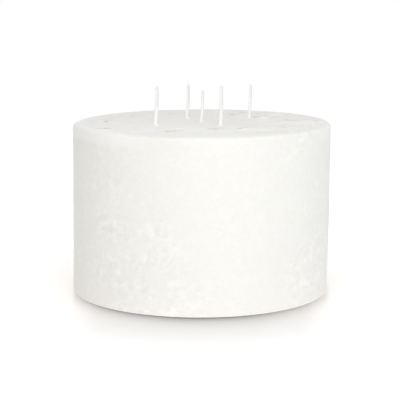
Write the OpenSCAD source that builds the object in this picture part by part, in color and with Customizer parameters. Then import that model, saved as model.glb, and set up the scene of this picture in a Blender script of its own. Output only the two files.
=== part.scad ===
// Rustic five-wick pillar candle.
// A cast wax core carries a thick dipped coat. Five wicks stand in channels through the core.
// Each wick is braided cotton in a skin of wax, crimped into a tinplate sustainer in the base.
// Millimetres. The origin is the centre of the base, +X is right, +Y is back and +Z is up.

/* [Candle] */
// Diameter over the dipped coat
candle_d = 230; // [180:1:320]
// Height from the base to the top face
candle_h = 150; // [60:1:260]
// Radius of the rounded top edge
rim_r = 3; // [1:0.5:6]
// Size of the bevel ironed round the base
base_bevel = 1; // [0.4:0.1:2]

/* [Dipped coat] */
// Thickness of the coat on the side
coat_side = 4; // [2.5:0.5:10]
// Thickness of the coat on the top
coat_top = 4; // [2:0.5:10]
// Height of the wax that climbs each wick at the top face
collar_h = 1.5; // [0.5:0.1:4]
// Width of that wax at its foot
collar_foot = 1.2; // [0.5:0.1:4]
// Width of that wax at its upper edge
collar_lip = 0.2; // [0.1:0.05:0.4]

/* [Wick pattern] */
// Distance between the two wicks of the front row, and of the back row
pair_gap = 57; // [45:0.5:90]
// Distance from the front row to the back row
row_gap = 60; // [45:0.5:90]
// Shift of the back row to the right of the front row
row_stagger = 27; // [0:0.5:35]
// Shift of both rows to the right of the centre wick
rows_shift = 2; // [-5:0.5:5]

/* [Wick lengths above the top face] */
// Front left wick
front_left_free = 35.5; // [15:0.5:60]
// Front right wick
front_right_free = 36; // [15:0.5:60]
// Centre wick
centre_free = 29; // [15:0.5:60]
// Back left wick
back_left_free = 32; // [15:0.5:60]
// Back right wick
back_right_free = 32; // [15:0.5:60]

/* [Wicks] */
// Diameter of the cotton braid
braid_d = 2.2; // [1.2:0.1:4]
// Thickness of the wax skin on the braid
skin_t = 0.4; // [0.2:0.1:1]
// Braid left bare above its wax skin, at the tip
bare_tip = 1.5; // [1:0.5:8]
// Clearance round each wick and sustainer in the candle's wax
wick_clearance = 0.1; // [0.05:0.05:0.3]

/* [Sustainers] */
// Diameter of the flat tab
tab_d = 20; // [12:0.5:28]
// Thickness of the tinplate
tinplate = 0.3; // [0.2:0.05:0.6]
// Height of the neck above the tab
neck_h = 9; // [4:0.5:16]
// Radius of the bend from tab to neck, on the neck's outside
neck_bend_r = 1; // [0.5:0.1:2]
// Depth of the tab's underside in the base
tab_inset = 0.5; // [0.2:0.1:2]

/* [Hidden] */
$fn = 96;

// Each wick's name, its place and its free length.
PLACES = ["front_left", "front_right", "centre", "back_left", "back_right"];
front_x = rows_shift - row_stagger / 2;
back_x = rows_shift + row_stagger / 2;
WICK_AT = [
    [front_x - pair_gap / 2, -row_gap / 2],
    [front_x + pair_gap / 2, -row_gap / 2],
    [0, 0],
    [back_x - pair_gap / 2, row_gap / 2],
    [back_x + pair_gap / 2, row_gap / 2]
];
WICK_FREE = [front_left_free, front_right_free, centre_free, back_left_free, back_right_free];
WICKS = [0:len(PLACES) - 1];

candle_r = candle_d / 2;
core_r = candle_r - coat_side;
core_h = candle_h - coat_top;

braid_r = braid_d / 2;
wick_r = braid_r + skin_t;
wick_hole_r = wick_r + wick_clearance;

// The tab's top face bears on the roof of its recess in the base.
tab_r = tab_d / 2;
recess_h = tab_inset + tinplate;
neck_r = braid_r + tinplate;
neck_hole_r = neck_r + wick_clearance;
neck_top = recess_h + neck_h;

// Length by which a cut runs past the face that it opens.
past = 1;

// Half outline of the whole candle, bevelled at the base and round at the rim.
module candle_outline() {
    difference() {
        polygon([
            [0, 0],
            [candle_r - base_bevel, 0],
            [candle_r, base_bevel],
            [candle_r, candle_h],
            [0, candle_h]
        ]);
        translate([candle_r - rim_r, candle_h - rim_r])
            difference() {
                square(rim_r + past);
                circle(r = rim_r);
            }
    }
}

// Cut for one wick and its sustainer, from below the base to above the collar.
module wick_channel() {
    translate([0, 0, -past])
        cylinder(r = tab_r + wick_clearance, h = recess_h + past);
    translate([0, 0, recess_h])
        cylinder(r1 = neck_hole_r + neck_bend_r, r2 = neck_hole_r, h = neck_bend_r);
    cylinder(r = neck_hole_r, h = neck_top);
    cylinder(r = wick_hole_r, h = candle_h + collar_h + past);
}

module at_each_wick() {
    for (i = WICKS)
        translate(WICK_AT[i]) children();
}

// Cast block, with a channel for each wick and a recess in the base for each sustainer.
module wax_core() {
    color("ivory")
        difference() {
            cylinder(r = core_r, h = core_h);
            at_each_wick() wick_channel();
        }
}

// Dipped coat over the side and the top, down to the base, with wax climbing each wick.
module rustic_coat() {
    color("white")
        difference() {
            union() {
                rotate_extrude()
                    difference() {
                        candle_outline();
                        translate([0, -past]) square([core_r, core_h + past]);
                    }
                at_each_wick()
                    translate([0, 0, candle_h])
                        cylinder(r1 = wick_hole_r + collar_foot, r2 = wick_hole_r + collar_lip, h = collar_h);
            }
            at_each_wick() wick_channel();
        }
}

// Cotton braid, from its foot in the sustainer's neck to its cut tip.
module wick_braid(i) {
    top = candle_h + WICK_FREE[i];
    color("whitesmoke")
        translate(WICK_AT[i])
            translate([0, 0, recess_h])
                cylinder(r = braid_r, h = top - recess_h);
}

// Skin of wax on the braid, from the sustainer's neck to just below the tip.
module wick_wax(i) {
    top = candle_h + WICK_FREE[i] - bare_tip;
    color("snow")
        translate(WICK_AT[i])
            difference() {
                translate([0, 0, neck_top])
                    cylinder(r = wick_r, h = top - neck_top);
                cylinder(r = braid_r, h = top + past);
            }
}

// Pressed tinplate tab with a neck drawn up round the braid, one thickness throughout.
module sustainer(i) {
    bend_x = neck_r + neck_bend_r;
    bend_z = recess_h + neck_bend_r;
    color("silver")
        translate(WICK_AT[i])
            rotate_extrude() {
                translate([bend_x, tab_inset]) square([tab_r - bend_x, tinplate]);
                translate([braid_r, bend_z]) square([tinplate, neck_top - bend_z]);
                intersection() {
                    translate([bend_x, bend_z])
                        difference() {
                            circle(r = neck_bend_r + tinplate);
                            circle(r = neck_bend_r);
                        }
                    square([bend_x, bend_z]);
                }
            }
}

wax_core();
rustic_coat();
for (i = WICKS) {
    wick_braid(i);
    wick_wax(i);
    sustainer(i);
}
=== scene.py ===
import math

import bmesh
import bpy
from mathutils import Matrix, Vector, geometry, noise


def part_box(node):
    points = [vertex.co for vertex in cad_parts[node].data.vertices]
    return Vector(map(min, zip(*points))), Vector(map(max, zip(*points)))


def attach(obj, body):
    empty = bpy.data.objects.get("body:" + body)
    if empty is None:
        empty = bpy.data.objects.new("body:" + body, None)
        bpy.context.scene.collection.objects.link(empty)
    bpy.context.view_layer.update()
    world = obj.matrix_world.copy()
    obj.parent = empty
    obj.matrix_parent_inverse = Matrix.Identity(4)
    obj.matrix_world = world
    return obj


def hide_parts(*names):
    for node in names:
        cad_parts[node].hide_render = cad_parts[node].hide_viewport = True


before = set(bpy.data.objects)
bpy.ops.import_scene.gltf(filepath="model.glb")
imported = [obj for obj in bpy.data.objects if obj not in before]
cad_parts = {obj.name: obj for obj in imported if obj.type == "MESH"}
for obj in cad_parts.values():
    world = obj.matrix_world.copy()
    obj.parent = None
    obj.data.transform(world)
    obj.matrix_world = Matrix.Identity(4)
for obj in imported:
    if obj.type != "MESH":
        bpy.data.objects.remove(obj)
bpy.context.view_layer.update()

MM = 0.001


# Sustainers
# Tinplate tabs pressed from thin sheet, each with a neck drawn up round the foot of a wick.
# They sit in shallow recesses in the base and show only from below, so the CAD shapes stay.

PLACES = ("front_left", "front_right", "centre", "back_left", "back_right")


def linear(colour):
    """An sRGB hex colour as linear red, green, blue and alpha."""
    channels = [int(colour[i:i + 2], 16) / 255 for i in (1, 3, 5)]
    return [c / 12.92 if c <= 0.04045 else ((c + 0.055) / 1.055) ** 2.4 for c in channels] + [1.0]


def plug(tree, node, inputs):
    """Sets inputs of a node, or links them to a socket or to another node's first output."""
    for name, value in inputs.items():
        if isinstance(value, bpy.types.Node):
            value = next(output for output in value.outputs if output.enabled)
        if isinstance(value, bpy.types.NodeSocket):
            tree.links.new(value, node.inputs[name])
        else:
            node.inputs[name].default_value = value


def add(tree, kind, inputs=None, **settings):
    """Adds a node, sets its properties, and sets or links its inputs."""
    node = tree.nodes.new(kind)
    for name, value in settings.items():
        setattr(node, name, value)
    plug(tree, node, inputs or {})
    return node


def start_material(name, values):
    """A new material, its tree, its shader with these values, and places in the object."""
    material = bpy.data.materials.new(name)
    material.use_nodes = True
    tree = material.node_tree
    shader = tree.nodes["Principled BSDF"]
    plug(tree, shader, values)
    return material, tree, shader, add(tree, "ShaderNodeTexCoord").outputs["Object"]


# Bright tinplate, cold rolled: fine lines along the sheet give it a slightly streaked reflection.
# The lines are drawn at a quarter of a millimetre, coarser than real ones, so that they show.
ROLLING_LINE = 0.25 * MM
LINE_STRETCH = 0.06
LINE_DEPTH = 0.01 * MM
TIN_ROUGHNESS = {"To Min": 0.2, "To Max": 0.42}

tinplate, tree, shader, place = start_material(
    "pressed tinplate", {"Base Color": linear("#C6C8C7"), "Metallic": 1.0}
)
along_sheet = add(tree, "ShaderNodeMapping", {"Vector": place, "Scale": (LINE_STRETCH, 1, 1)})
lines = add(
    tree, "ShaderNodeTexNoise", {"Vector": along_sheet, "Scale": 1 / ROLLING_LINE, "Detail": 2.0}
)
sheen = add(tree, "ShaderNodeMapRange", {"Value": lines, **TIN_ROUGHNESS})
scratch = add(tree, "ShaderNodeBump", {"Height": lines, "Strength": 0.3, "Distance": LINE_DEPTH})
plug(tree, shader, {"Roughness": sheen, "Normal": scratch})

for where in PLACES:
    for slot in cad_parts["sustainer_" + where].material_slots:
        slot.material = tinplate


# Wax core
# One block of paraffin and stearin, cast in a mould with a pin for each wick channel.
# The coat hides it except for its base, which is levelled on a hot plate, so the CAD shape stays.

# Cast wax: smooth, slightly translucent, with a faint cloudiness about a centimetre across.
CLOUD_WIDTH = 14 * MM
SMEAR_WIDTH = 1.2 * MM
SMEAR_DEPTH = 0.05 * MM
WAX_IOR = 1.44

cast_wax, tree, shader, place = start_material(
    "cast paraffin wax",
    {
        "IOR": WAX_IOR,
        "Roughness": 0.42,
        "Subsurface Weight": 0.6,
        "Subsurface Radius": (1.0, 0.85, 0.65),
        "Subsurface Scale": 2 * MM,
    },
)
clouds = add(tree, "ShaderNodeTexNoise", {"Vector": place, "Scale": 1 / CLOUD_WIDTH, "Detail": 4.0})
tint = add(
    tree,
    "ShaderNodeMix",
    {"Factor": clouds, "A": linear("#EFEBE0"), "B": linear("#FAF8F1")},
    data_type="RGBA",
)
smears = add(tree, "ShaderNodeTexNoise", {"Vector": place, "Scale": 1 / SMEAR_WIDTH, "Detail": 3.0})
skin = add(tree, "ShaderNodeBump", {"Height": smears, "Strength": 0.4, "Distance": SMEAR_DEPTH})
plug(tree, shader, {"Base Color": tint, "Normal": skin})

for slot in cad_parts["wax_core"].material_slots:
    slot.material = cast_wax


# Wick braids
# Bleached cotton yarns plaited round a straight core, cut from a reel and primed with wax.
# The foot is crimped in the sustainer's neck. Only the cut tip shows, above the wax skin.

STRANDS = 8
STRAND_R = 0.36 * MM
STRAND_SIDES = 7
PLAIT_PITCH = 6 * MM
PLAIT_STEP = 0.25 * MM
PLAIT_MIDDLE_R = 0.68 * MM
PLAIT_WEAVE = 0.14 * MM
PLAIT_UNDER_SKIN = 4 * MM
CORE_YARN_R = 1.0 * MM
CORE_YARN_SIDES = 12
CORE_YARN_POINTS = 80
CORE_YARN_TIP = 0.8
COLLAR_H = 1.5 * MM

# How far each tip stands to the right of its foot and behind it, and how far the wick bows between.
TIP_LEAN = {
    "front_left": (1.4 * MM, 0.2 * MM, 0),
    "front_right": (0.6 * MM, -0.3 * MM, 0),
    "centre": (1.3 * MM, 0.4 * MM, 0),
    "back_left": (1.1 * MM, -0.2 * MM, 0),
    "back_right": (1.3 * MM, 0.3 * MM, 0),
}
WICK_BOW = {
    "front_left": (0.6 * MM, 0.2 * MM, 0),
    "front_right": (0.4 * MM, 0.3 * MM, 0),
    "centre": (0.7 * MM, -0.2 * MM, 0),
    "back_left": (0.6 * MM, 0.2 * MM, 0),
    "back_right": (0.3 * MM, -0.3 * MM, 0),
}

top_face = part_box("rustic_coat")[1].z - COLLAR_H


def start_tree(name, inputs):
    """A new tree of geometry nodes with inputs of these kinds and names, and their sockets."""
    tree = bpy.data.node_groups.new(name, "GeometryNodeTree")
    for kind, labels in inputs.items():
        for label in labels:
            tree.interface.new_socket(label, in_out="INPUT", socket_type="NodeSocket" + kind)
    tree.interface.new_socket("Geometry", in_out="OUTPUT", socket_type="NodeSocketGeometry")
    return tree, add(tree, "NodeGroupInput").outputs


def end_tree(tree, shape, material):
    """Closes a tree with a plain mesh, smooth and in its material."""
    smooth = add(tree, "GeometryNodeSetShadeSmooth", {"Geometry": shape})
    plain = add(tree, "GeometryNodeRealizeInstances", {"Geometry": smooth})
    dressed = add(tree, "GeometryNodeSetMaterial", {"Geometry": plain, "Material": material})
    add(tree, "NodeGroupOutput", {"Geometry": dressed})


def grow(name, mesh, tree, values):
    """Runs a tree on a mesh and keeps what it makes as a plain mesh."""
    piece = bpy.data.objects.new(name, mesh)
    bpy.context.scene.collection.objects.link(piece)
    modifier = piece.modifiers.new(tree.name, "NODES")
    modifier.node_group = tree
    for item in tree.interface.items_tree:
        if item.in_out == "INPUT" and item.name in values:
            modifier[item.identifier] = values[item.name]
    graph = bpy.context.evaluated_depsgraph_get()
    grown = bpy.data.meshes.new_from_object(
        piece.evaluated_get(graph), preserve_all_data_layers=True, depsgraph=graph
    )
    piece.modifiers.clear()
    piece.data = grown
    grown.name = name
    return piece


def lean_of(tree, given):
    """How far a point of a wick stands to the side: its lean, full at the tip, and its bow."""
    point = add(tree, "GeometryNodeInputPosition")
    height = add(tree, "ShaderNodeSeparateXYZ", {"Vector": point}).outputs["Z"]
    share = add(
        tree,
        "ShaderNodeMapRange",
        {"Value": height, "From Min": given["Top Face"], "From Max": given["Tip Height"]},
    )
    half_turn = add(tree, "ShaderNodeMath", {0: share, 1: math.pi}, operation="MULTIPLY")
    swing = add(tree, "ShaderNodeMath", {0: half_turn}, operation="SINE")
    bow = add(tree, "ShaderNodeVectorMath", {0: given["Bow"], "Scale": swing}, operation="SCALE")
    lean = add(tree, "ShaderNodeVectorMath", {0: given["Lean"], "Scale": share}, operation="SCALE")
    return add(tree, "ShaderNodeVectorMath", {0: lean, 1: bow}, operation="ADD")


plait, given = start_tree(
    "plaited wick",
    {
        "Vector": ("Foot", "Plait Foot", "Tip", "Lean", "Bow"),
        "Float": (
            "Tip Height", "Top Face", "Pitch", "Step", "Middle Radius", "Weave", "Strand Radius",
            "Core Radius",
        ),
        "Int": ("Strands",),
        "Material": ("Material",),
    },
)
# Half of the strands wind one way and half the other, each over one and under one.
line = add(
    plait, "GeometryNodeCurvePrimitiveLine", {"Start": given["Plait Foot"], "End": given["Tip"]}
)
points = add(
    plait, "GeometryNodeResampleCurve", {"Curve": line, "Length": given["Step"]}, mode="LENGTH"
)
yarns = add(
    plait,
    "GeometryNodeDuplicateElements",
    {"Geometry": points, "Amount": given["Strands"]},
    domain="SPLINE",
)
index = yarns.outputs["Duplicate Index"]
point = add(plait, "GeometryNodeInputPosition")
height = add(plait, "ShaderNodeSeparateXYZ", {"Vector": point}).outputs["Z"]
turns = add(plait, "ShaderNodeMath", {0: height, 1: given["Pitch"]}, operation="DIVIDE")
turn = add(plait, "ShaderNodeMath", {0: turns, 1: 2 * math.pi}, operation="MULTIPLY")
odd = add(plait, "ShaderNodeMath", {0: index, 1: 2.0}, operation="MODULO")
hand = add(plait, "ShaderNodeMath", {0: odd, 1: -2.0, 2: 1.0}, operation="MULTIPLY_ADD")
half = add(plait, "ShaderNodeMath", {0: index, 1: 2.0}, operation="DIVIDE")
pair = add(plait, "ShaderNodeMath", {0: half}, operation="FLOOR")
spread = add(plait, "ShaderNodeMath", {0: 4 * math.pi, 1: given["Strands"]}, operation="DIVIDE")
phase = add(plait, "ShaderNodeMath", {0: pair, 1: spread}, operation="MULTIPLY")
angle = add(plait, "ShaderNodeMath", {0: turn, 1: hand, 2: phase}, operation="MULTIPLY_ADD")
crossings = add(plait, "ShaderNodeMath", {0: given["Strands"], 1: 2.0}, operation="DIVIDE")
beat = add(plait, "ShaderNodeMath", {0: turn, 1: crossings}, operation="MULTIPLY")
over = add(plait, "ShaderNodeMath", {0: beat}, operation="COSINE")
swing = add(plait, "ShaderNodeMath", {0: over, 1: given["Weave"]}, operation="MULTIPLY")
reach = add(
    plait,
    "ShaderNodeMath",
    {0: swing, 1: hand, 2: given["Middle Radius"]},
    operation="MULTIPLY_ADD",
)
cosine = add(plait, "ShaderNodeMath", {0: angle}, operation="COSINE")
sine = add(plait, "ShaderNodeMath", {0: angle}, operation="SINE")
out_x = add(plait, "ShaderNodeMath", {0: cosine, 1: reach}, operation="MULTIPLY")
out_y = add(plait, "ShaderNodeMath", {0: sine, 1: reach}, operation="MULTIPLY")
round_axis = add(plait, "ShaderNodeCombineXYZ", {"X": out_x, "Y": out_y})
lean = lean_of(plait, given)
shift = add(plait, "ShaderNodeVectorMath", {0: round_axis, 1: lean}, operation="ADD")
wound = add(plait, "GeometryNodeSetPosition", {"Geometry": yarns, "Offset": shift})
strand_round = add(
    plait,
    "GeometryNodeCurvePrimitiveCircle",
    {"Resolution": STRAND_SIDES, "Radius": given["Strand Radius"]},
)
strands = add(
    plait,
    "GeometryNodeCurveToMesh",
    {"Curve": wound, "Profile Curve": strand_round, "Fill Caps": True},
)
# The core fills the plait and stands for the whole braid inside the candle.
core_line = add(
    plait, "GeometryNodeCurvePrimitiveLine", {"Start": given["Foot"], "End": given["Tip"]}
)
core_points = add(
    plait,
    "GeometryNodeResampleCurve",
    {"Curve": core_line, "Count": CORE_YARN_POINTS},
    mode="COUNT",
)
core_path = add(plait, "GeometryNodeSetPosition", {"Geometry": core_points, "Offset": lean})
core_round = add(
    plait,
    "GeometryNodeCurvePrimitiveCircle",
    {"Resolution": CORE_YARN_SIDES, "Radius": given["Core Radius"]},
)
plait_foot = add(plait, "ShaderNodeSeparateXYZ", {"Vector": given["Plait Foot"]}).outputs["Z"]
core_width = add(
    plait,
    "ShaderNodeMapRange",
    {
        "Value": height,
        "From Min": plait_foot,
        "From Max": given["Tip Height"],
        "To Min": 1.0,
        "To Max": CORE_YARN_TIP,
    },
)
core_yarn = add(
    plait,
    "GeometryNodeCurveToMesh",
    {"Curve": core_path, "Profile Curve": core_round, "Scale": core_width, "Fill Caps": True},
)
braid = add(plait, "GeometryNodeJoinGeometry")
for part in (strands, core_yarn):
    plug(plait, braid, {"Geometry": part})
end_tree(plait, braid, given["Material"])

# Bleached cotton, waxed: matt off-white yarn with fine fibres, a little darker between them.
# The fibres are drawn at a tenth of a millimetre, coarser than real ones, so that they show.
FIBRE_WIDTH = 0.1 * MM
FIBRE_DEPTH = 0.05 * MM

waxed_cotton, tree, shader, place = start_material(
    "bleached cotton braid", {"Roughness": 0.7, "Sheen Weight": 0.15}
)
fibres = add(tree, "ShaderNodeTexNoise", {"Vector": place, "Scale": 1 / FIBRE_WIDTH, "Detail": 2.0})
tint = add(
    tree,
    "ShaderNodeMix",
    {"Factor": fibres, "A": linear("#F5F5F4"), "B": linear("#FEFEFE")},
    data_type="RGBA",
)
fuzz = add(tree, "ShaderNodeBump", {"Height": fibres, "Strength": 0.5, "Distance": FIBRE_DEPTH})
plug(tree, shader, {"Base Color": tint, "Normal": fuzz})

for where in PLACES:
    low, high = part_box("wick_braid_" + where)
    skin_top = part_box("wick_wax_" + where)[1].z
    axis = (low + high) / 2
    braid_piece = grow(
        "braid_" + where,
        bpy.data.meshes.new("braid_start"),
        plait,
        {
            "Foot": (axis.x, axis.y, low.z),
            "Plait Foot": (axis.x, axis.y, skin_top - PLAIT_UNDER_SKIN),
            "Tip": (axis.x, axis.y, high.z),
            "Tip Height": high.z,
            "Top Face": top_face,
            "Lean": TIP_LEAN[where],
            "Bow": WICK_BOW[where],
            "Strands": STRANDS,
            "Pitch": PLAIT_PITCH,
            "Step": PLAIT_STEP,
            "Middle Radius": PLAIT_MIDDLE_R,
            "Weave": PLAIT_WEAVE,
            "Strand Radius": STRAND_R,
            "Core Radius": CORE_YARN_R,
            "Material": waxed_cotton,
        },
    )
    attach(braid_piece, "root")
    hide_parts("wick_braid_" + where)


# Wick wax
# The skin of wax that a wick carries from its priming, thin enough to show the plait under it.
# It thins out unevenly towards the tip and runs down to the sustainer's neck inside the candle.

SKIN_AROUND = 32
SKIN_STEP = 0.35 * MM
SKIN_BURIED_ROWS = 12
SKIN_OVERLAP = 0.05 * MM
SKIN_INNER_DROP = 4 * MM
SKIN_RELIEF_FADE = 1 * MM
SKIN_LUMP = 0.16 * MM
SKIN_LUMP_LENGTH = 3 * MM
SKIN_TELEGRAPH = 0.06 * MM
SKIN_EDGE_SWAY = 0.8 * MM
SKIN_EDGE_DEPTH = 1.0 * MM
SKIN_CREEP = 0.6 * MM

# Wax that the front wicks carry beyond the usual skin.
SKIN_EXTRA = {"front_left": 0.22 * MM, "front_right": 0.22 * MM}


def turn_rows(rows, centre, around, closed):
    """Points and faces of an outline, rows of radius and height, turned about an upright axis."""
    points = []
    for radius, height in rows:
        for step in range(around):
            angle = 2 * math.pi * step / around
            points.append(
                (centre[0] + radius * math.cos(angle), centre[1] + radius * math.sin(angle), height)
            )
    faces = []
    for row in range(len(rows) if closed else len(rows) - 1):
        low = row * around
        high = (row + 1) % len(rows) * around
        for step in range(around):
            after = (step + 1) % around
            faces.append((low + step, low + after, high + after, high + step))
    return points, faces


def closed_mesh(name, points, faces, marks):
    """A mesh from points and faces, facing outwards, with named numbers on its points."""
    mesh = bpy.data.meshes.new(name)
    mesh.from_pydata(points, [], faces)
    shell = bmesh.new()
    shell.from_mesh(mesh)
    bmesh.ops.recalc_face_normals(shell, faces=shell.faces)
    shell.to_mesh(mesh)
    shell.free()
    for label, numbers in marks.items():
        mesh.attributes.new(label, "FLOAT", "POINT").data.foreach_set("value", numbers)
    return mesh


def smooth_step(low, high, value):
    """A number that goes smoothly from nothing at low to one at high."""
    share = min(1.0, max(0.0, (value - low) / (high - low)))
    return share * share * (3 - 2 * share)


wick_skin, given = start_tree(
    "wax skin of a wick",
    {
        "Geometry": ("Geometry",),
        "Vector": ("Axis", "Lean", "Bow"),
        "Float": (
            "Tip Height", "Top Face", "Skin Top", "Lump", "Lump Length", "Telegraph", "Pitch",
            "Edge Sway", "Edge Depth",
        ),
        "Int": ("Strands",),
        "Material": ("Material",),
    },
)
# The plait shows through as a net of low bumps, over slow uneven lumps.
point = add(wick_skin, "GeometryNodeInputPosition")
from_axis = add(
    wick_skin, "ShaderNodeVectorMath", {0: point, 1: given["Axis"]}, operation="SUBTRACT"
)
split = add(wick_skin, "ShaderNodeSeparateXYZ", {"Vector": from_axis}).outputs
height = add(wick_skin, "ShaderNodeSeparateXYZ", {"Vector": point}).outputs["Z"]
angle = add(wick_skin, "ShaderNodeMath", {0: split["Y"], 1: split["X"]}, operation="ARCTAN2")
crossings = add(wick_skin, "ShaderNodeMath", {0: given["Strands"], 1: 2.0}, operation="DIVIDE")
round_beat = add(wick_skin, "ShaderNodeMath", {0: angle, 1: crossings}, operation="MULTIPLY")
turns = add(wick_skin, "ShaderNodeMath", {0: height, 1: given["Pitch"]}, operation="DIVIDE")
turn = add(wick_skin, "ShaderNodeMath", {0: turns, 1: 2 * math.pi}, operation="MULTIPLY")
up_beat = add(wick_skin, "ShaderNodeMath", {0: turn, 1: crossings}, operation="MULTIPLY")
round_wave = add(wick_skin, "ShaderNodeMath", {0: round_beat}, operation="COSINE")
up_wave = add(wick_skin, "ShaderNodeMath", {0: up_beat}, operation="COSINE")
weave = add(wick_skin, "ShaderNodeMath", {0: round_wave, 1: up_wave}, operation="MULTIPLY")
plait_show = add(
    wick_skin, "ShaderNodeMath", {0: weave, 1: given["Telegraph"]}, operation="MULTIPLY"
)
per_length = add(wick_skin, "ShaderNodeMath", {0: 1.0, 1: given["Lump Length"]}, operation="DIVIDE")
lumps = add(wick_skin, "ShaderNodeTexNoise", {"Vector": point, "Scale": per_length, "Detail": 2.0})
swell = add(wick_skin, "ShaderNodeMath", {0: lumps, 1: 0.5}, operation="SUBTRACT")
bumps = add(
    wick_skin,
    "ShaderNodeMath",
    {0: swell, 1: given["Lump"], 2: plait_show},
    operation="MULTIPLY_ADD",
)
shown = add(wick_skin, "GeometryNodeInputNamedAttribute", {"Name": "relief"}, data_type="FLOAT")
raised = add(wick_skin, "ShaderNodeMath", {0: bumps, 1: shown}, operation="MULTIPLY")
normal = add(wick_skin, "GeometryNodeInputNormal")
outward = add(wick_skin, "ShaderNodeVectorMath", {0: normal, "Scale": raised}, operation="SCALE")
# The upper edge sways up and down.
edge_foot = add(
    wick_skin,
    "ShaderNodeMath",
    {0: given["Skin Top"], 1: given["Edge Depth"]},
    operation="SUBTRACT",
)
edge_share = add(
    wick_skin,
    "ShaderNodeMapRange",
    {"Value": height, "From Min": edge_foot, "From Max": given["Skin Top"]},
)
edge_height = add(
    wick_skin, "ShaderNodeMath", {0: edge_share, 1: given["Edge Sway"]}, operation="MULTIPLY"
)
sway = add(wick_skin, "ShaderNodeMath", {0: swell, 1: edge_height}, operation="MULTIPLY")
upward = add(wick_skin, "ShaderNodeCombineXYZ", {"Z": sway})
shaped = add(wick_skin, "ShaderNodeVectorMath", {0: outward, 1: upward}, operation="ADD")
lean = lean_of(wick_skin, given)
shift = add(wick_skin, "ShaderNodeVectorMath", {0: shaped, 1: lean}, operation="ADD")
moved = add(wick_skin, "GeometryNodeSetPosition", {"Geometry": given["Geometry"], "Offset": shift})
end_tree(wick_skin, moved, given["Material"])

# Thin wax on cotton: white, soft sheen, with streaks where the yarn shows through.
# Its left is whiter with painted light and its right greyer with painted shade, and it is whiter
# towards the foot.
STREAK_LENGTH = 2.5 * MM
STREAK_SQUEEZE = (3.0, 3.0, 1.0)
STREAK_SHARE = 0.6
STREAK_DEPTH = 0.08 * MM
PAINTED_LIGHT_LEAST = -0.2
PAINTED_LIGHT_SPAN = 0.9
PAINTED_SHADE_SIDE = math.radians(-15)
PAINTED_SHADE_EDGES = (0.5, -0.4)
FOOT_WHITENING = 0.45
FOOT_WHITENING_ENDS = (24 * MM, 8 * MM)

skin_wax, tree, shader, place = start_material(
    "thin paraffin skin", {"IOR": WAX_IOR, "Roughness": 0.45}
)
along_wick = add(tree, "ShaderNodeMapping", {"Vector": place, "Scale": STREAK_SQUEEZE})
streaks = add(
    tree, "ShaderNodeTexNoise", {"Vector": along_wick, "Scale": 1 / STREAK_LENGTH, "Detail": 3.0}
)
# The wick's painted light and shade, greyer on its right, read from its points.
thick = add(tree, "ShaderNodeAttribute", attribute_name="thick").outputs["Fac"]
streak_and_light_share = add(
    tree, "ShaderNodeMath", {0: streaks, 1: STREAK_SHARE, 2: thick}, operation="MULTIPLY_ADD"
)
tint = add(
    tree,
    "ShaderNodeMix",
    {"Factor": streak_and_light_share, "A": linear("#E6E7E8"), "B": linear("#FDFEFF")},
    data_type="RGBA",
)
ripple = add(tree, "ShaderNodeBump", {"Height": streaks, "Strength": 0.4, "Distance": STREAK_DEPTH})
plug(tree, shader, {"Base Color": tint, "Normal": ripple})

# Painted light round a wick, from nothing on the right, where its shade is painted, to one on the
# left.
thick_round = []
for step in range(SKIN_AROUND):
    to_shaded_side = math.cos(2 * math.pi * step / SKIN_AROUND - PAINTED_SHADE_SIDE)
    thick_round.append(smooth_step(*PAINTED_SHADE_EDGES, to_shaded_side))

for where in PLACES:
    low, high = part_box("wick_wax_" + where)
    braid_low, braid_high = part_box("wick_braid_" + where)
    axis = (low + high) / 2
    skin_top = high.z + SKIN_CREEP
    outer_r = (high.x - low.x) / 2 + SKIN_EXTRA.get(where, 0.0)
    inner_r = (braid_high.x - braid_low.x) / 2 - SKIN_OVERLAP
    buried = [
        (outer_r, low.z + (top_face - low.z) * row / SKIN_BURIED_ROWS)
        for row in range(SKIN_BURIED_ROWS)
    ]
    taper_z = skin_top - SKIN_EDGE_DEPTH
    free_h = taper_z - top_face
    free_rows = round(free_h / SKIN_STEP)
    free = [(outer_r, top_face + free_h * row / free_rows) for row in range(free_rows)]
    taper_rows = round(SKIN_EDGE_DEPTH / SKIN_STEP)
    taper = []
    for row in range(taper_rows + 1):
        share = row / taper_rows
        radius = inner_r + (outer_r - inner_r) * math.sqrt(1 - share * share)
        taper.append((radius, taper_z + SKIN_EDGE_DEPTH * share))
    inside = [(inner_r, skin_top - SKIN_INNER_DROP), (inner_r, top_face), (inner_r, low.z)]
    rows = buried + free + taper + inside
    points, faces = turn_rows(rows, (axis.x, axis.y), SKIN_AROUND, closed=True)
    shown_rows = len(buried) + len(free) + len(taper) - 1
    relief = []
    thick = []
    for row, (radius, height) in enumerate(rows):
        bared = smooth_step(top_face - SKIN_RELIEF_FADE, top_face + SKIN_RELIEF_FADE, height)
        relief += [bared if row < shown_rows else 0.0] * SKIN_AROUND
        # The wick's painted light and shade: whiter towards the foot and on the left, greyer on the
        # right.
        foot_light = PAINTED_LIGHT_LEAST + FOOT_WHITENING * smooth_step(*FOOT_WHITENING_ENDS, height - top_face)
        thick += [foot_light + PAINTED_LIGHT_SPAN * share for share in thick_round]
    skin_piece = grow(
        "skin_" + where,
        closed_mesh("skin_start", points, faces, {"relief": relief, "thick": thick}),
        wick_skin,
        {
            "Axis": (axis.x, axis.y, 0.0),
            "Tip Height": braid_high.z,
            "Top Face": top_face,
            "Skin Top": skin_top,
            "Lean": TIP_LEAN[where],
            "Bow": WICK_BOW[where],
            "Lump": SKIN_LUMP,
            "Lump Length": SKIN_LUMP_LENGTH,
            "Telegraph": SKIN_TELEGRAPH,
            "Strands": STRANDS,
            "Pitch": PLAIT_PITCH,
            "Edge Sway": SKIN_EDGE_SWAY,
            "Edge Depth": SKIN_EDGE_DEPTH,
            "Material": skin_wax,
        },
    )
    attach(skin_piece, "root")
    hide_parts("wick_wax_" + where)


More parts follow.
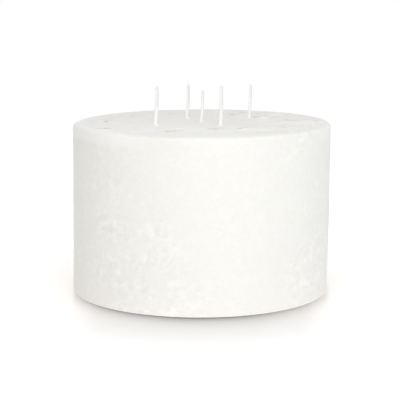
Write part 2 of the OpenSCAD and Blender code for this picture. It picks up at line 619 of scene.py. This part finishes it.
# Rustic coat
# A second dip in cooler wax over the cast core. It chills as it runs, so it sets mottled and
# pitted, with flecks on its side and shallow dents in its top, and it climbs each wick a little.

COAT_AROUND = 560
COAT_STEP = 1.35 * MM
COAT_TOP_STEP = 1.4 * MM
COAT_LEAN = 1.5 * MM
UPRIGHT_SHARE = 0.45
TOP_RISE = 0.4 * MM
TOP_SLOPE_RIGHT = 0.002
TOP_SLOPE_FRONT = 0.004
RIM_R = 3.5 * MM
RIM_ROWS = 6
FOOT_R = 0.8 * MM
FOOT_ROWS = 3
SHARP_ANGLE = math.radians(60)
CLIMB_WIDTH = 0.9 * MM
WICK_SEAL = 0.2 * MM
RING_RADII = (1.75 * MM, 2.15 * MM, 2.7 * MM, 3.5 * MM, 4.6 * MM, 6.0 * MM)
RING_POINTS = 24

# Least gap from the grid of the top to its rings and rim, the gap at which points merge, and the
# share of a wick's hole within which triangles are left out.
GRID_CLEARANCE = 0.7 * COAT_TOP_STEP
MERGE_GAP = 1e-6
OPEN_SHARE = 0.99

# Dents and lumps of the top, in millimetres: place to the right and to the back, half width,
# half depth from front to back, and fall, which is negative for a lump.
DENTS = (
    (-85, -46, 10.0, 8.0, 3.0),
    (-53, -58, 7.0, 6.5, 2.0),
    (-24, -66, 13.0, 7.0, 2.2),
    (13, -46, 8.0, 7.0, 1.4),
    (35, -47, 9.0, 8.0, 2.2),
    (39, -68, 6.0, 6.0, 1.1),
    (56, -69, 11.0, 6.0, 1.0),
    (92, -32, 4.5, 6.0, 1.5),
    (98, -45, 6.0, 5.0, 1.2),
    (-88, 4, 7.0, 14.0, 1.2),
    (33, 59, 6.0, 8.0, 1.5),
    (24, 63, 10.0, 7.0, 2.4),
    (53, 71, 9.0, 8.0, 1.2),
    (54, 45, 8.0, 6.0, 2.0),
    (76, 66, 13.0, 7.0, 1.0),
    (77, 5, 5.0, 7.0, 1.3),
    (85, 6, 5.0, 6.0, 1.4),
    (-30, 74, 8.0, 6.0, 0.7),
    (-66, 52, 7.0, 6.0, 0.8),
    (-52, -24, 50.0, 32.0, -0.6),
    (62, 0, 26.0, 24.0, -0.6),
    (-86, -60, 11.0, 7.0, -1.0),
    (96, -12, 17.0, 34.0, -0.9),
    (-20, -50, 14.0, 7.0, -0.7),
    (37, -60, 10.0, 6.0, -0.8),
    (41, 56, 8.0, 8.0, -1.0),
    (56, 28, 8.0, 7.0, -1.2),
    (68, 56, 9.0, 8.0, -1.2),
    (86, 34, 8.0, 8.0, -1.0),
    (20, 84, 9.0, 8.0, -1.0),
    (84, -10, 8.0, 7.0, -0.8),
    (-74, 34, 9.0, 8.0, -0.8),
)
# How much painted shade a millimetre of fall puts on a dent, and painted light on a lump, and
# between which shares of a dent's half depth towards the back, and of the way in from the edge, it
# comes in.
PAINTED_FALL_SHADE = 0.3
BACK_WALL_ENDS = (-0.3, 0.3)
DENT_EDGE_ENDS = (0.0, 0.7)

# Width and shift of the waves that make the outlines of dents and lumps ragged.
RAGGED_SHIFTS = ((12 * MM, 5 * MM), (4 * MM, 2 * MM))
RAGGED_SEED = 6

# Slow blotches of the top away from the wicks: width, rise, and how much whiter they are.
BLOTCHES = ((24 * MM, 1.4 * MM, 0.6), (11 * MM, 0.7 * MM, 0.5))
BLOTCH_ENDS = (2 * MM, 6 * MM)

# Places where the coat set rough, in millimetres: a point on the surface and its reach, and then
# how rough it is there, from nothing to one.
ROUGH_PLACES = (
    (-52, -102, 48, 56, 0.75),
    (-98, -60, 40, 50, 0.6),
    (-56, -100, 14, 46, 1.0),
    (-26, -112, 14, 38, 0.8),
    (-81, -82, 84, 44, 0.85),
    (-85, -75, 118, 46, 0.45),
    (-112, -20, 75, 60, 0.5),
    (106, -44, 80, 50, 0.75),
    (95, -65, 24, 44, 0.75),
    (60, 98, 60, 62, 0.9),
    (-80, 82, 90, 60, 0.85),
    (112, 25, 20, 50, 0.8),
    (-10, 114, 120, 50, 0.75),
    (50, 60, 150, 48, 1.0),
    (86, 5, 150, 50, 1.0),
    (-80, 20, 150, 36, 0.9),
    (66, -58, 150, 50, 0.9),
    (8, -72, 150, 44, 0.6),
    (-62, -66, 150, 46, 0.65),
)
CALM_SHARE = 0.18
ROUGH_ENDS = (0.3, 1.0)

# Whiteness of plain wax, how much whiter it is round the wicks, and the painted light that whitens
# the front of the top and the left and right of the rim.
PLAIN_WHITE = 0.5
COLLAR_WHITE = 0.5
COLLAR_WHITE_ENDS = (1.8 * MM, 3.6 * MM)
FRONT_PAINTED_LIGHT = 0.2
FRONT_PAINTED_LIGHT_ENDS = (10 * MM, 70 * MM)
RIM_PAINTED_LIGHT = 0.6
RIM_PAINTED_LIGHT_ENDS = (RIM_R, 14 * MM)
RIM_LEFT_ENDS = (0.3, 0.75)
RIM_RIGHT_ENDS = (0.8, 1.0)

# Heights above the base, and distances from a wick, between which the fine relief comes in.
FOOT_RELIEF_ENDS = (0.3 * MM, 4 * MM)
WICK_RELIEF_ENDS = (1.6 * MM, 4.5 * MM)

candle_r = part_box("rustic_coat")[1].x
core_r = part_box("wax_core")[1].x
core_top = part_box("wax_core")[1].z
wick_boxes = [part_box("wick_wax_" + where) for where in PLACES]
wick_axes = [((low.x + high.x) / 2, (low.y + high.y) / 2) for low, high in wick_boxes]
hole_r = (wick_boxes[0][1].x - wick_boxes[0][0].x) / 2 - WICK_SEAL


def wick_gap(x, y):
    """Distance from a place on the top to the nearest wick's axis."""
    return min(math.dist((x, y), axis) for axis in wick_axes)


noise.seed_set(RAGGED_SEED)


def ragged(x, y):
    """A place on the top, shifted so that the outlines of dents and lumps come out ragged."""
    spot = Vector((x, y, 0.0))
    for width, shift in RAGGED_SHIFTS:
        spot += shift * noise.noise_vector(Vector((x, y, 0.0)) / width)
    return spot.x, spot.y


def rough_share(x, y, z):
    """Share of the full relief at a place on the coat."""
    share = CALM_SHARE
    for rough_x, rough_y, rough_z, reach, full in ROUGH_PLACES:
        away = math.dist((x / MM, y / MM, z / MM), (rough_x, rough_y, rough_z)) / reach
        share = max(share, CALM_SHARE + (full - CALM_SHARE) * (1 - smooth_step(*ROUGH_ENDS, away)))
    return share


def top_form(x, y):
    """Height of the coat's top before its fine relief, and how white it is there, painted light and
    shade included.
    """
    gap = wick_gap(x, y)
    climb = math.exp(-max(0.0, gap - hole_r - WICK_SEAL) / CLIMB_WIDTH)
    height = top_face + COLLAR_H * climb
    white = PLAIN_WHITE + COLLAR_WHITE * (1 - smooth_step(*COLLAR_WHITE_ENDS, gap))
    # Painted light: the top is whiter towards its front.
    white += FRONT_PAINTED_LIGHT * smooth_step(*FRONT_PAINTED_LIGHT_ENDS, -y)
    ragged_x, ragged_y = ragged(x, y)
    blotched = smooth_step(*BLOTCH_ENDS, gap) * rough_share(x, y, top_face)
    for width, rise, whiter in BLOTCHES:
        blotch = blotched * noise.noise(Vector((ragged_x, ragged_y, 0.0)) / width)
        height += rise * blotch
        white += whiter * blotch
    for dent_x, dent_y, half_width, half_depth, fall in DENTS:
        across = (ragged_x / MM - dent_x) / half_width
        along = (ragged_y / MM - dent_y) / half_depth
        inside = 1 - across * across - along * along
        if inside > 0:
            height -= fall * MM * inside * inside
            # Painted shade on a dent's back wall, or painted light on a lump.
            back_wall = smooth_step(*BACK_WALL_ENDS, along) if fall > 0 else 1.0
            white -= PAINTED_FALL_SHADE * fall * back_wall * smooth_step(*DENT_EDGE_ENDS, inside)
    return height, white


def settle(x, y, z):
    """Where a point of an even coat lies on the dipped one, which leans and slopes a little."""
    share = z / top_face
    width = (x * x + y * y) / (candle_r * candle_r)
    lean = COAT_LEAN * (share - UPRIGHT_SHARE) * width
    rise = (TOP_RISE + TOP_SLOPE_RIGHT * x - TOP_SLOPE_FRONT * y) * share
    return (x + lean, y, z + rise)


def painted_rim_light(x, y, z):
    """Painted light along the left and right of the rim, where its rounded edge would catch the
    light.
    """
    from_edge = max(top_face - z, candle_r - math.hypot(x, y))
    to_right = x / candle_r
    side = smooth_step(*RIM_LEFT_ENDS, -to_right) + smooth_step(*RIM_RIGHT_ENDS, to_right)
    return RIM_PAINTED_LIGHT * side * (1 - smooth_step(*RIM_PAINTED_LIGHT_ENDS, from_edge))


# The side, from the inner edge of the base to the inner edge of the rim.
inner_rows = [(core_r, core_top), (core_r, 0.0)]
outer_rows = [(candle_r - 2 * FOOT_R, 0.0)]
for row in range(FOOT_ROWS + 1):
    angle = math.pi / 2 * row / FOOT_ROWS
    outer_rows.append((candle_r - FOOT_R * (1 - math.sin(angle)), FOOT_R * (1 - math.cos(angle))))
wall_rows = round((top_face - RIM_R - FOOT_R) / COAT_STEP)
wall_step = (top_face - RIM_R - FOOT_R) / wall_rows
outer_rows += [(candle_r, FOOT_R + wall_step * row) for row in range(1, wall_rows)]
for row in range(RIM_ROWS + 1):
    angle = math.pi / 2 * row / RIM_ROWS
    outer_rows.append(
        (candle_r - RIM_R * (1 - math.cos(angle)), top_face - RIM_R * (1 - math.sin(angle)))
    )
coat_points, coat_faces = turn_rows(inner_rows + outer_rows, (0.0, 0.0), COAT_AROUND, closed=False)
inner_ring = list(range(COAT_AROUND))
outer_start = len(inner_rows) * COAT_AROUND
rim_ring = list(range(len(coat_points) - COAT_AROUND, len(coat_points)))


def wick_ring(axis, radius, turn):
    """Points of a ring round a wick."""
    angles = [2 * math.pi * (step + turn) / RING_POINTS for step in range(RING_POINTS)]
    return [(axis[0] + radius * math.cos(a), axis[1] + radius * math.sin(a)) for a in angles]


def fill_disc(ring, spots, start):
    """Triangles over a ring of the coat's points and the spots inside it, open where wicks pass."""
    edge = [coat_points[corner][:2] for corner in ring]
    flat = [Vector((x / MM, y / MM)) for x, y in edge + spots]
    corners = ring + list(range(start, start + len(spots)))
    faces = []
    for triangle in geometry.delaunay_2d_cdt(flat, [], [], 0, MERGE_GAP)[2]:
        middle = sum((flat[corner] for corner in triangle), Vector((0, 0))) * MM / 3
        if wick_gap(*middle) > OPEN_SHARE * hole_r:
            faces.append(tuple(corners[corner] for corner in triangle))
    return faces


hole_spots = [spot for axis in wick_axes for spot in wick_ring(axis, hole_r, 0.0)]

# The top: an even grid, with rings of points where the wax climbs the wicks.
top_spots = list(hole_spots)
for axis in wick_axes:
    for number, radius in enumerate(RING_RADII):
        top_spots += wick_ring(axis, radius, 0.5 * ((number + 1) % 2))
row_step = COAT_TOP_STEP * math.sqrt(3) / 2
grid_rows = int(candle_r / row_step)
grid_columns = int(candle_r / COAT_TOP_STEP) + 1
for row in range(-grid_rows, grid_rows + 1):
    for column in range(-grid_columns, grid_columns + 1):
        x = COAT_TOP_STEP * (column + 0.5 * (row % 2))
        y = row_step * row
        clear_of_wicks = wick_gap(x, y) > RING_RADII[-1] + GRID_CLEARANCE
        if clear_of_wicks and math.hypot(x, y) < candle_r - RIM_R - GRID_CLEARANCE:
            top_spots.append((x, y))
top_start = len(coat_points)
top_forms = [top_form(x, y) for x, y in top_spots]
coat_points += [(x, y, height) for (x, y), (height, white) in zip(top_spots, top_forms)]
coat_faces += fill_disc(rim_ring, top_spots, top_start)

# The underside of the top, on the core, and the sleeves that join it to the top round each wick.
under_start = len(coat_points)
coat_points += [(x, y, core_top) for x, y in hole_spots]
coat_faces += fill_disc(inner_ring, hole_spots, under_start)
for wick in range(len(PLACES)):
    for step in range(RING_POINTS):
        here = wick * RING_POINTS + step
        after = wick * RING_POINTS + (step + 1) % RING_POINTS
        coat_faces.append(
            (top_start + here, top_start + after, under_start + after, under_start + here)
        )

# How much of the relief each point takes, how rough it is there, and how white before flecks.
relief = []
rough = [rough_share(x, y, z) for x, y, z in coat_points]
whites = [PLAIN_WHITE] * len(coat_points)
for number, (x, y, z) in enumerate(coat_points):
    shown = outer_start <= number < under_start
    relief.append(smooth_step(*FOOT_RELIEF_ENDS, z) if shown else 0.0)
    if top_start <= number < under_start:
        relief[-1] *= smooth_step(*WICK_RELIEF_ENDS, wick_gap(x, y))
        whites[number] = top_forms[number - top_start][1]
    if shown:
        # Painted light along the left and right of the rim.
        whites[number] += painted_rim_light(x, y, z)
        coat_points[number] = settle(x, y, z)

# What the noise has to reach for a patch, fleck, vein or pit to begin and to be full. Veins and
# pits are full at low values.
PATCH_MARKS = {"From Min": 0.4, "From Max": 0.6, "To Min": 0.25}
FLECK_MARKS = {"From Min": 0.42, "From Max": 0.62, "To Min": -0.3, "To Max": 0.6}
VEIN_MARKS = {"From Min": 0.055, "From Max": 0.0}
PIT_MARKS = {"From Min": 0.42, "From Max": 0.1}
PIT_DRAW_MARKS = {"From Min": 0.5, "From Max": 0.8}
# How much whiter a vein is, partly frost and partly painted light, and the painted shade of a pit.
VEIN_WHITE = 0.7
PIT_PAINTED_SHADE = -0.3

rustic, given = start_tree(
    "rustic relief",
    {
        "Geometry": ("Geometry",),
        "Vector": ("Seed",),
        "Float": (
            "Sway", "Sway Width", "Patch Width", "Fleck", "Fleck Width", "Fleck White", "Vein",
            "Vein Spacing", "Pit", "Pit Spacing",
        ),
        "Material": ("Material",),
    },
)
point = add(rustic, "GeometryNodeInputPosition")
spot = add(rustic, "ShaderNodeVectorMath", {0: point, 1: given["Seed"]}, operation="ADD")
marks = {
    label: add(rustic, "GeometryNodeInputNamedAttribute", {"Name": label}, data_type="FLOAT")
    for label in ("relief", "rough", "white")
}
per_width = {
    label: add(rustic, "ShaderNodeMath", {0: 1.0, 1: given[label]}, operation="DIVIDE")
    for label in ("Sway Width", "Patch Width", "Fleck Width", "Vein Spacing", "Pit Spacing")
}

# Slow swells of the whole coat.
sway_noise = add(
    rustic, "ShaderNodeTexNoise", {"Vector": spot, "Scale": per_width["Sway Width"], "Detail": 1.0}
)
sway_share = add(rustic, "ShaderNodeMath", {0: sway_noise, 1: 0.5}, operation="SUBTRACT")
sway = add(rustic, "ShaderNodeMath", {0: sway_share, 1: given["Sway"]}, operation="MULTIPLY")

# Where the flecks and pits crowd together.
patch_noise = add(
    rustic, "ShaderNodeTexNoise", {"Vector": spot, "Scale": per_width["Patch Width"], "Detail": 2.0}
)
patch = add(
    rustic,
    "ShaderNodeMapRange",
    {"Value": patch_noise, **PATCH_MARKS},
    interpolation_type="SMOOTHSTEP",
)
strength = add(rustic, "ShaderNodeMath", {0: patch, 1: marks["rough"]}, operation="MULTIPLY")

# Flecks: small raised crumbs of chilled wax.
fleck_noise = add(
    rustic,
    "ShaderNodeTexNoise",
    {
        "Vector": spot,
        "Scale": per_width["Fleck Width"],
        "Detail": 2.0,
        "Roughness": 0.55,
        "Distortion": 0.6,
    },
)
fleck = add(
    rustic,
    "ShaderNodeMapRange",
    {"Value": fleck_noise, **FLECK_MARKS},
    interpolation_type="SMOOTHSTEP",
)

# Veins: thin crooked ridges where runs of wax met and set.
vein_noise = add(
    rustic,
    "ShaderNodeTexNoise",
    {"Vector": spot, "Scale": per_width["Vein Spacing"], "Detail": 2.0, "Distortion": 0.8},
)
off_vein = add(rustic, "ShaderNodeMath", {0: vein_noise, 1: 0.5}, operation="SUBTRACT")
from_vein = add(rustic, "ShaderNodeMath", {0: off_vein}, operation="ABSOLUTE")
vein = add(
    rustic,
    "ShaderNodeMapRange",
    {"Value": from_vein, **VEIN_MARKS},
    interpolation_type="SMOOTHSTEP",
)

# Pits: burst bubbles, in some of the cells of an uneven net.
net = add(
    rustic, "ShaderNodeTexVoronoi", {"Vector": spot, "Scale": per_width["Pit Spacing"]}
).outputs
bowl = add(
    rustic,
    "ShaderNodeMapRange",
    {"Value": net["Distance"], **PIT_MARKS},
    interpolation_type="SMOOTHSTEP",
)
draw = add(rustic, "ShaderNodeSeparateXYZ", {"Vector": net["Color"]}).outputs["X"]
chosen = add(rustic, "ShaderNodeMapRange", {"Value": draw, **PIT_DRAW_MARKS})
pit = add(rustic, "ShaderNodeMath", {0: bowl, 1: chosen}, operation="MULTIPLY")

# All of them together lift the surface, and they whiten it as they rise, partly frost and partly
# painted light, with painted shade in the pits.
pit_depth = add(rustic, "ShaderNodeMath", {0: pit, 1: given["Pit"]}, operation="MULTIPLY")
fleck_height = add(rustic, "ShaderNodeMath", {0: fleck, 1: given["Fleck"]}, operation="MULTIPLY")
crumbs = add(rustic, "ShaderNodeMath", {0: fleck_height, 1: pit_depth}, operation="SUBTRACT")
fine = add(
    rustic, "ShaderNodeMath", {0: vein, 1: given["Vein"], 2: crumbs}, operation="MULTIPLY_ADD"
)
height = add(rustic, "ShaderNodeMath", {0: fine, 1: strength, 2: sway}, operation="MULTIPLY_ADD")
raised = add(rustic, "ShaderNodeMath", {0: height, 1: marks["relief"]}, operation="MULTIPLY")
normal = add(rustic, "GeometryNodeInputNormal")
outward = add(rustic, "ShaderNodeVectorMath", {0: normal, "Scale": raised}, operation="SCALE")
# Crumbs and veins are whiter, partly frost and partly painted light, and pits carry painted shade.
raised_white = add(
    rustic, "ShaderNodeMath", {0: vein, 1: VEIN_WHITE, 2: fleck}, operation="MULTIPLY_ADD"
)
bright = add(
    rustic, "ShaderNodeMath", {0: pit, 1: PIT_PAINTED_SHADE, 2: raised_white}, operation="MULTIPLY_ADD"
)
fleck_white = add(
    rustic, "ShaderNodeMath", {0: strength, 1: given["Fleck White"]}, operation="MULTIPLY"
)
# The coat's whiteness, painted light and shade included, kept on its points for the material.
frost_and_painted_light = add(
    rustic,
    "ShaderNodeMath",
    {0: bright, 1: fleck_white, 2: marks["white"]},
    operation="MULTIPLY_ADD",
)
frosted = add(
    rustic,
    "GeometryNodeStoreNamedAttribute",
    {"Geometry": given["Geometry"], "Name": "frost_and_painted_light", "Value": frost_and_painted_light},
    data_type="FLOAT",
    domain="POINT",
)
moved = add(rustic, "GeometryNodeSetPosition", {"Geometry": frosted, "Offset": outward})
end_tree(rustic, moved, given["Material"])

# Dipped wax, frosted: white, with the cloudy bloom that wax gets when it chills unevenly.
# Raised flecks are whiter and duller, partly their frost and partly painted light. The wax between
# them is clearer and a little darker, and the pits and dents carry painted shade, the greyest of
# all.
BLOOM_WIDTH = 2.5 * MM
BLOOM_WHITE = {"To Min": -0.3, "To Max": 0.3}
GRAIN_WIDTH = 0.7 * MM
GRAIN_DEPTH = 0.12 * MM
COAT_ROUGHNESS = {"To Min": 0.4, "To Max": 0.58}
DEEPEST_SHADE = -0.4
WHITEST = 1.0
TINTS_BETWEEN = {0.0: "#DAD9D6", 0.3: "#F0F0EC"}

frosted_wax, tree, shader, place = start_material(
    "frosted dipped wax",
    {
        "IOR": WAX_IOR,
        "Subsurface Weight": 0.3,
        "Subsurface Radius": (1.0, 0.9, 0.75),
        "Subsurface Scale": 1.0 * MM,
    },
)
# The coat's whiteness, with its painted light and shade.
frost_and_light_mark = add(tree, "ShaderNodeAttribute", attribute_name="frost_and_painted_light").outputs["Fac"]
bloom = add(
    tree,
    "ShaderNodeTexNoise",
    {"Vector": place, "Scale": 1 / BLOOM_WIDTH, "Detail": 3.0, "Roughness": 0.6},
)
bloom_share = add(tree, "ShaderNodeMapRange", {"Value": bloom, **BLOOM_WHITE})
frost_and_light_here = add(tree, "ShaderNodeMath", {0: frost_and_light_mark, 1: bloom_share}, operation="ADD")
whiteness = add(
    tree, "ShaderNodeMapRange", {"Value": frost_and_light_here, "From Min": DEEPEST_SHADE, "From Max": WHITEST}
)
tint = add(tree, "ShaderNodeValToRGB", {"Fac": whiteness})
stops = tint.color_ramp.elements
stops[0].color = linear("#C9C8C5")
stops[1].color = linear("#FCFCFA")
for mark, colour in TINTS_BETWEEN.items():
    stops.new((mark - DEEPEST_SHADE) / (WHITEST - DEEPEST_SHADE)).color = linear(colour)
dullness = add(tree, "ShaderNodeMapRange", {"Value": whiteness, **COAT_ROUGHNESS})
grain = add(tree, "ShaderNodeTexNoise", {"Vector": place, "Scale": 1 / GRAIN_WIDTH, "Detail": 3.0})
skin = add(tree, "ShaderNodeBump", {"Height": grain, "Strength": 0.35, "Distance": GRAIN_DEPTH})
plug(tree, shader, {"Base Color": tint, "Roughness": dullness, "Normal": skin})

coat = grow(
    "frosted_coat",
    closed_mesh(
        "coat_start",
        coat_points,
        coat_faces,
        {"relief": relief, "rough": rough, "white": whites},
    ),
    rustic,
    {
        "Seed": (0.31, 0.12, 0.57),
        "Sway": 1.0 * MM,
        "Sway Width": 45 * MM,
        "Patch Width": 20 * MM,
        "Fleck": 0.5 * MM,
        "Fleck Width": 5.4 * MM,
        "Fleck White": 0.6,
        "Vein": 0.5 * MM,
        "Vein Spacing": 22 * MM,
        "Pit": 0.6 * MM,
        "Pit Spacing": 6.5 * MM,
        "Material": frosted_wax,
    },
)
coat.data.set_sharp_from_angle(angle=SHARP_ANGLE)
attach(coat, "root")
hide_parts("rustic_coat")


# Studio
# A white floor and a white surround with soft light from the front, as in a catalogue picture.

FLOOR_HALF = 4.0
FLOOR_Z = -0.1 * MM
FLOOR_CORNERS = ((-1, -1), (1, -1), (1, 1), (-1, 1))

floor_mesh = bpy.data.meshes.new("floor")
floor_mesh.from_pydata(
    [(x * FLOOR_HALF, y * FLOOR_HALF, FLOOR_Z) for x, y in FLOOR_CORNERS], [], [(0, 1, 2, 3)]
)
floor = bpy.data.objects.new("floor", floor_mesh)
bpy.context.scene.collection.objects.link(floor)


def seen_rays(tree):
    """Which rays meet a surface, and whether the camera sees it, directly or mirrored."""
    rays = add(tree, "ShaderNodeLightPath").outputs
    mirrored = add(
        tree,
        "ShaderNodeMath",
        {0: rays["Is Glossy Ray"], 1: rays["Is Transmission Ray"]},
        operation="MAXIMUM",
    )
    seen = add(tree, "ShaderNodeMath", {0: rays["Is Camera Ray"], 1: mirrored}, operation="MAXIMUM")
    return rays, seen


# Light table: a white acrylic sheet lit from below, so that it reads as pure white and lights the
# candle's foot. A painted shade, shown to the camera only, darkens it round the candle: a thin line
# of contact, weaker to the right, and a wide soft shade. The glow is a little warmer near the
# candle.
# It is clear from below, so that the base can be looked at.
TABLE_GLOW = 0.52
TABLE_GLOW_SEEN = 0.62
CONTACT_REACH = 120 * MM
CONTACT_SHADE = 0.42
CONTACT_SHADE_RIGHT = 0.31
CONTACT_HALF_WIDTH = 118.5 * MM
CONTACT_EDGE = 4 * MM
WIDE_SHADE = 0.45
WIDE_HALF_WIDTH = 130 * MM
WIDE_EDGE = 40 * MM
SHADE_NARROWING = 0.094
SIDE_SHARE = 0.4
COVER_MARKS = {"From Min": 1.0, "From Max": 0.5}
CONTACT_MARKS = {"From Min": 0.5, "From Max": 0.93}
CONTACT_FALL = 2.0
RIGHT_MARKS = {"From Min": 0.3, "From Max": 0.6}
CONTACT_FACING_FULL = 0.4
WIDE_FACING_FROM = 0.15

white_sheet, tree, shader, place = start_material(
    "white acrylic sheet", {"Roughness": 0.25, "IOR": 1.06}
)
rays, seen = seen_rays(tree)
nearness = add(tree, "ShaderNodeAmbientOcclusion", {"Distance": CONTACT_REACH}, samples=16)
covered = add(tree, "ShaderNodeMapRange", {"Value": nearness.outputs["AO"], **COVER_MARKS})
outwards = add(tree, "ShaderNodeVectorMath", {0: place}, operation="NORMALIZE")
heading = add(tree, "ShaderNodeSeparateXYZ", {"Vector": outwards}).outputs
facing = add(tree, "ShaderNodeMath", {0: heading["Y"]}, operation="ABSOLUTE")
across = add(tree, "ShaderNodeVectorMath", {0: place}, operation="ABSOLUTE")
from_middle = add(tree, "ShaderNodeSeparateXYZ", {"Vector": across}).outputs
to_side = add(
    tree,
    "ShaderNodeMath",
    {0: from_middle["Y"], 1: SHADE_NARROWING, 2: from_middle["X"]},
    operation="MULTIPLY_ADD",
)
near = add(tree, "ShaderNodeMapRange", {"Value": covered, **CONTACT_MARKS})
contact = add(tree, "ShaderNodeMath", {0: near, 1: CONTACT_FALL}, operation="POWER")
contact_within = add(
    tree,
    "ShaderNodeMapRange",
    {
        "Value": to_side,
        "From Min": CONTACT_HALF_WIDTH,
        "From Max": CONTACT_HALF_WIDTH - CONTACT_EDGE,
        "To Min": SIDE_SHARE,
    },
)
contact_full = add(
    tree,
    "ShaderNodeMapRange",
    {
        "Value": heading["X"],
        **RIGHT_MARKS,
        "To Min": CONTACT_SHADE,
        "To Max": CONTACT_SHADE_RIGHT,
    },
)
contact_facing = add(
    tree,
    "ShaderNodeMapRange",
    {
        "Value": facing,
        "From Max": CONTACT_FACING_FULL,
        "To Min": SIDE_SHARE * CONTACT_SHADE,
        "To Max": contact_full,
    },
)
contact_share = add(
    tree, "ShaderNodeMath", {0: contact_within, 1: contact_facing}, operation="MULTIPLY"
)
wide_within = add(
    tree,
    "ShaderNodeMapRange",
    {"Value": to_side, "From Min": WIDE_HALF_WIDTH, "From Max": WIDE_HALF_WIDTH - WIDE_EDGE},
    interpolation_type="SMOOTHSTEP",
)
wide_facing = add(
    tree,
    "ShaderNodeMapRange",
    {"Value": facing, "From Min": WIDE_FACING_FROM, "To Max": WIDE_SHADE},
)
wide_share = add(tree, "ShaderNodeMath", {0: wide_within, 1: wide_facing}, operation="MULTIPLY")
wide_shade = add(tree, "ShaderNodeMath", {0: covered, 1: wide_share}, operation="MULTIPLY")
shade = add(
    tree, "ShaderNodeMath", {0: contact, 1: contact_share, 2: wide_shade}, operation="MULTIPLY_ADD"
)
# The painted shade is shown to camera rays only.
seen_shade = add(tree, "ShaderNodeMath", {0: shade, 1: rays["Is Camera Ray"]}, operation="MULTIPLY")
open_share = add(tree, "ShaderNodeMath", {0: 1.0, 1: seen_shade}, operation="SUBTRACT")
glow = add(
    tree, "ShaderNodeMapRange", {"Value": seen, "To Min": TABLE_GLOW, "To Max": TABLE_GLOW_SEEN}
)
shaded_glow = add(tree, "ShaderNodeMath", {0: glow, 1: open_share}, operation="MULTIPLY")
# The glow is painted a little warmer near the candle.
glow_tint = add(
    tree,
    "ShaderNodeMix",
    {"Factor": covered, "A": linear("#FFFFFF"), "B": linear("#FFF8F3")},
    data_type="RGBA",
)
sheet_tint = add(
    tree,
    "ShaderNodeMix",
    {"Factor": open_share, "A": linear("#000000"), "B": linear("#BCBCBC")},
    data_type="RGBA",
)
plug(
    tree,
    shader,
    {"Base Color": sheet_tint, "Emission Color": glow_tint, "Emission Strength": shaded_glow},
)
underside = add(tree, "ShaderNodeNewGeometry").outputs["Backfacing"]
clear = add(tree, "ShaderNodeBsdfTransparent")
one_way = add(tree, "ShaderNodeMixShader", {0: underside, 1: shader, 2: clear})
plug(tree, tree.nodes["Material Output"], {"Surface": one_way})
white_sheet.cycles.emission_sampling = "NONE"
floor_mesh.materials.append(white_sheet)

# The surround is white to the camera and lights the candle softly from all sides,
# a little weaker and warmer from the front left than from the back right.
SURROUND_LIGHT = 0.665
TO_BACK_RIGHT = (0.8, 0.6, 0.0)

surround = bpy.data.worlds.new("white surround")
bpy.context.scene.world = surround
surround.use_nodes = True
tree = surround.node_tree
tree.nodes.clear()
rays, seen = seen_rays(tree)
strength = add(tree, "ShaderNodeMapRange", {"Value": seen, "To Min": SURROUND_LIGHT, "To Max": 1.0})
direction = add(tree, "ShaderNodeTexCoord").outputs["Generated"]
from_front_left = add(
    tree, "ShaderNodeVectorMath", {0: direction, 1: TO_BACK_RIGHT}, operation="DOT_PRODUCT"
)
right_share = add(
    tree, "ShaderNodeMapRange", {"Value": from_front_left, "From Min": -1.0, "From Max": 1.0}
)
side_tint = add(
    tree,
    "ShaderNodeMix",
    {"Factor": right_share, "A": linear("#EFEAE3"), "B": linear("#FAFCFF")},
    data_type="RGBA",
)
sky_tint = add(
    tree,
    "ShaderNodeMix",
    {"Factor": seen, "A": side_tint, "B": linear("#FFFFFF")},
    data_type="RGBA",
)
sky = add(tree, "ShaderNodeBackground", {"Color": sky_tint, "Strength": strength})
add(tree, "ShaderNodeOutputWorld", {"Surface": sky})


def add_softbox(name, place, target, size, power):
    """A square lamp at a place, facing a target."""
    lamp = bpy.data.lights.new(name, "AREA")
    lamp.size = size
    lamp.energy = power
    softbox = bpy.data.objects.new(name, lamp)
    softbox.location = place
    softbox.rotation_euler = (Vector(target) - Vector(place)).to_track_quat("-Z", "Y").to_euler()
    bpy.context.scene.collection.objects.link(softbox)


# A softbox far in front, a little to the right, and one above the candle's front edge.
add_softbox("front softbox", place=(0.55, -2.1, 0.5), target=(0.0, 0.0, 0.08), size=0.9, power=10.8)
add_softbox(
    "upper softbox", place=(0.0, -0.35, 0.75), target=(0.0, -0.02, 0.15), size=0.35, power=1.2
)

# The camera stands about 1.2 m away, a little above the top face, as for a catalogue picture.
# Its turns are in degrees.
CAMERA_PLACE = (0.0, -1.2352, 0.2947)
CAMERA_DOWN = 9.88
CAMERA_LEFT = 0.042
SENSOR_WIDTH = 36.0
LENS_LENGTH = 124.785

lens = bpy.data.cameras.new("camera")
lens.sensor_width = SENSOR_WIDTH
lens.lens = LENS_LENGTH
camera = bpy.data.objects.new("camera", lens)
camera.location = CAMERA_PLACE
camera.rotation_euler = (math.radians(90 - CAMERA_DOWN), 0.0, math.radians(CAMERA_LEFT))
bpy.context.scene.collection.objects.link(camera)
bpy.context.scene.camera = camera
bpy.context.scene.view_settings.view_transform = "Standard"
